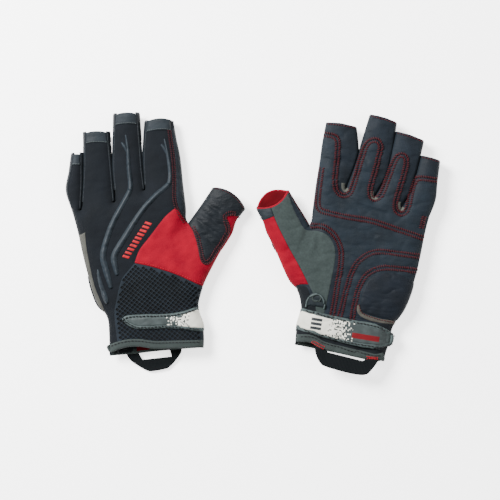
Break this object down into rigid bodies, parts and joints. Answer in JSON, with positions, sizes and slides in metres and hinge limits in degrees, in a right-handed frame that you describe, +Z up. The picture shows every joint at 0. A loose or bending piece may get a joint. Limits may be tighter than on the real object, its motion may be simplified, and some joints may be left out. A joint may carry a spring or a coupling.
{
  "type": "pair of sailing gloves",
  "caption": "Short-finger sailing gloves with leather palms, stretch backs, wrist straps and pull loops, laid palm down and palm up.",
  "frame": {"origin": "centre of the pair on the surface it lies on", "axes": "+X across from glove 1 to glove 2, +Y towards the fingertips, +Z up"},
  "size_m": [0.3167, 0.2251, 0.021],
  "materials": {
    "palm_leather": "matte, soft grain",
    "suede": "brushed nap",
    "heel_leather": "smooth matte",
    "hem_leather": "matte",
    "stretch_fabric": "knitted stretch cloth",
    "red_fabric": "woven",
    "mesh": "open mesh",
    "rib_trim": "moulded matt rib",
    "neoprene": "knit faced foam",
    "binding": "woven tape",
    "stitching": "thread",
    "strap": "coated strap, satin",
    "loop_field": "napped",
    "hook_field": "hooks",
    "webbing": "woven webbing"
  },
  "bodies": {
    "glove1_hand": {"glove1_palm_panel": "palm_leather", "glove1_palm_overlay": "suede", "glove1_heel_pad": "heel_leather", "glove1_back_panel": "stretch_fabric", "glove1_thumb_gusset": "red_fabric", "glove1_wrist_mesh": "mesh", "glove1_back_ribs": "rib_trim", "glove1_wrist_cuff": "neoprene", "glove1_cuff_binding": "binding", "glove1_bar_tacks": "stitching", "glove1_strap_base": "strap", "glove1_loop_patch": "loop_field"},
    "glove1_strap": {"glove1_strap_tab": "strap", "glove1_hook_patch": "hook_field"},
    "glove1_loop": {"glove1_pull_loop": "webbing"},
    "glove1_index": {"glove1_index_palm": "palm_leather", "glove1_index_back": "stretch_fabric", "glove1_index_hem": "hem_leather"},
    "glove1_middle": {"glove1_middle_palm": "palm_leather", "glove1_middle_back": "stretch_fabric", "glove1_middle_hem": "hem_leather"},
    "glove1_ring": {"glove1_ring_palm": "palm_leather", "glove1_ring_back": "stretch_fabric", "glove1_ring_hem": "hem_leather"},
    "glove1_little": {"glove1_little_palm": "palm_leather", "glove1_little_back": "stretch_fabric", "glove1_little_hem": "hem_leather"},
    "glove1_thumb": {"glove1_thumb_palm": "suede", "glove1_thumb_back": "hem_leather", "glove1_thumb_hem": "hem_leather"},
    "glove2_hand": {"glove2_palm_panel": "palm_leather", "glove2_palm_overlay": "suede", "glove2_heel_pad": "heel_leather", "glove2_back_panel": "stretch_fabric", "glove2_thumb_gusset": "red_fabric", "glove2_wrist_mesh": "mesh", "glove2_back_ribs": "rib_trim", "glove2_wrist_cuff": "neoprene", "glove2_cuff_binding": "binding", "glove2_bar_tacks": "stitching", "glove2_strap_base": "strap", "glove2_loop_patch": "loop_field"},
    "glove2_strap": {"glove2_strap_tab": "strap", "glove2_hook_patch": "hook_field"},
    "glove2_loop": {"glove2_pull_loop": "webbing"},
    "glove2_index": {"glove2_index_palm": "palm_leather", "glove2_index_back": "stretch_fabric", "glove2_index_hem": "hem_leather"},
    "glove2_middle": {"glove2_middle_palm": "palm_leather", "glove2_middle_back": "stretch_fabric", "glove2_middle_hem": "hem_leather"},
    "glove2_ring": {"glove2_ring_palm": "palm_leather", "glove2_ring_back": "stretch_fabric", "glove2_ring_hem": "hem_leather"},
    "glove2_little": {"glove2_little_palm": "palm_leather", "glove2_little_back": "stretch_fabric", "glove2_little_hem": "hem_leather"},
    "glove2_thumb": {"glove2_thumb_palm": "suede", "glove2_thumb_back": "hem_leather", "glove2_thumb_hem": "hem_leather"}
  },
  "joints": [
    {"name": "glove2_lift", "type": "slide", "parent": "glove1_hand", "child": "glove2_hand", "axis": [0, 0, 1], "range_m": [0, 0.1]},
    {"name": "glove1_strap_peel", "type": "hinge", "parent": "glove1_hand", "child": "glove1_strap", "pos_m": [-0.04507, -0.06401, 0.0008], "axis": [0.1184, -0.993, 0], "range_deg": [0, 150]},
    {"name": "glove1_loop_flip", "type": "hinge", "parent": "glove1_hand", "child": "glove1_loop", "pos_m": [-0.08567, -0.09342, 0.0041], "axis": [0.993, 0.1184, 0], "range_deg": [-60, 60]},
    {"name": "glove1_index_flex", "type": "hinge", "parent": "glove1_hand", "child": "glove1_index", "pos_m": [-0.07705, 0.05051, 0], "axis": [-0.9972, -0.075, 0], "range_deg": [0, 75]},
    {"name": "glove1_middle_flex", "type": "hinge", "parent": "glove1_hand", "child": "glove1_middle", "pos_m": [-0.10646, 0.04549, 0], "axis": [-0.9991, -0.0419, 0], "range_deg": [0, 75]},
    {"name": "glove1_ring_flex", "type": "hinge", "parent": "glove1_hand", "child": "glove1_ring", "pos_m": [-0.13294, 0.03529, 0], "axis": [-0.9996, -0.0297, 0], "range_deg": [0, 75]},
    {"name": "glove1_little_flex", "type": "hinge", "parent": "glove1_hand", "child": "glove1_little", "pos_m": [-0.15263, 0.02891, 0], "axis": [-1, 0.0035, 0], "range_deg": [0, 75]},
    {"name": "glove1_thumb_flex", "type": "hinge", "parent": "glove1_hand", "child": "glove1_thumb", "pos_m": [-0.04072, 0.00681, 0], "axis": [-0.829, 0.5592, 0], "range_deg": [0, 50]},
    {"name": "glove2_strap_peel", "type": "hinge", "parent": "glove2_hand", "child": "glove2_strap", "pos_m": [0.03929, -0.06638, 0.0202], "axis": [-0.1616, -0.9869, 0], "range_deg": [0, 150]},
    {"name": "glove2_loop_flip", "type": "hinge", "parent": "glove2_hand", "child": "glove2_loop", "pos_m": [0.07857, -0.09753, 0.0169], "axis": [-0.9869, 0.1616, 0], "range_deg": [-60, 60]},
    {"name": "glove2_index_flex", "type": "hinge", "parent": "glove2_hand", "child": "glove2_index", "pos_m": [0.06637, 0.04825, 0.021], "axis": [0.989, -0.1478, 0], "range_deg": [0, 75]},
    {"name": "glove2_middle_flex", "type": "hinge", "parent": "glove2_hand", "child": "glove2_middle", "pos_m": [0.09107, 0.0432, 0.021], "axis": [0.9563, -0.2924, 0], "range_deg": [0, 75]},
    {"name": "glove2_ring_flex", "type": "hinge", "parent": "glove2_hand", "child": "glove2_ring", "pos_m": [0.115, 0.03583, 0.021], "axis": [0.9483, -0.3173, 0], "range_deg": [0, 75]},
    {"name": "glove2_little_flex", "type": "hinge", "parent": "glove2_hand", "child": "glove2_little", "pos_m": [0.13819, 0.02585, 0.021], "axis": [0.965, -0.2622, 0], "range_deg": [0, 75]},
    {"name": "glove2_thumb_flex", "type": "hinge", "parent": "glove2_hand", "child": "glove2_thumb", "pos_m": [0.03227, 0.00652, 0.021], "axis": [0.8746, 0.4848, 0], "range_deg": [0, 50]}
  ]
}
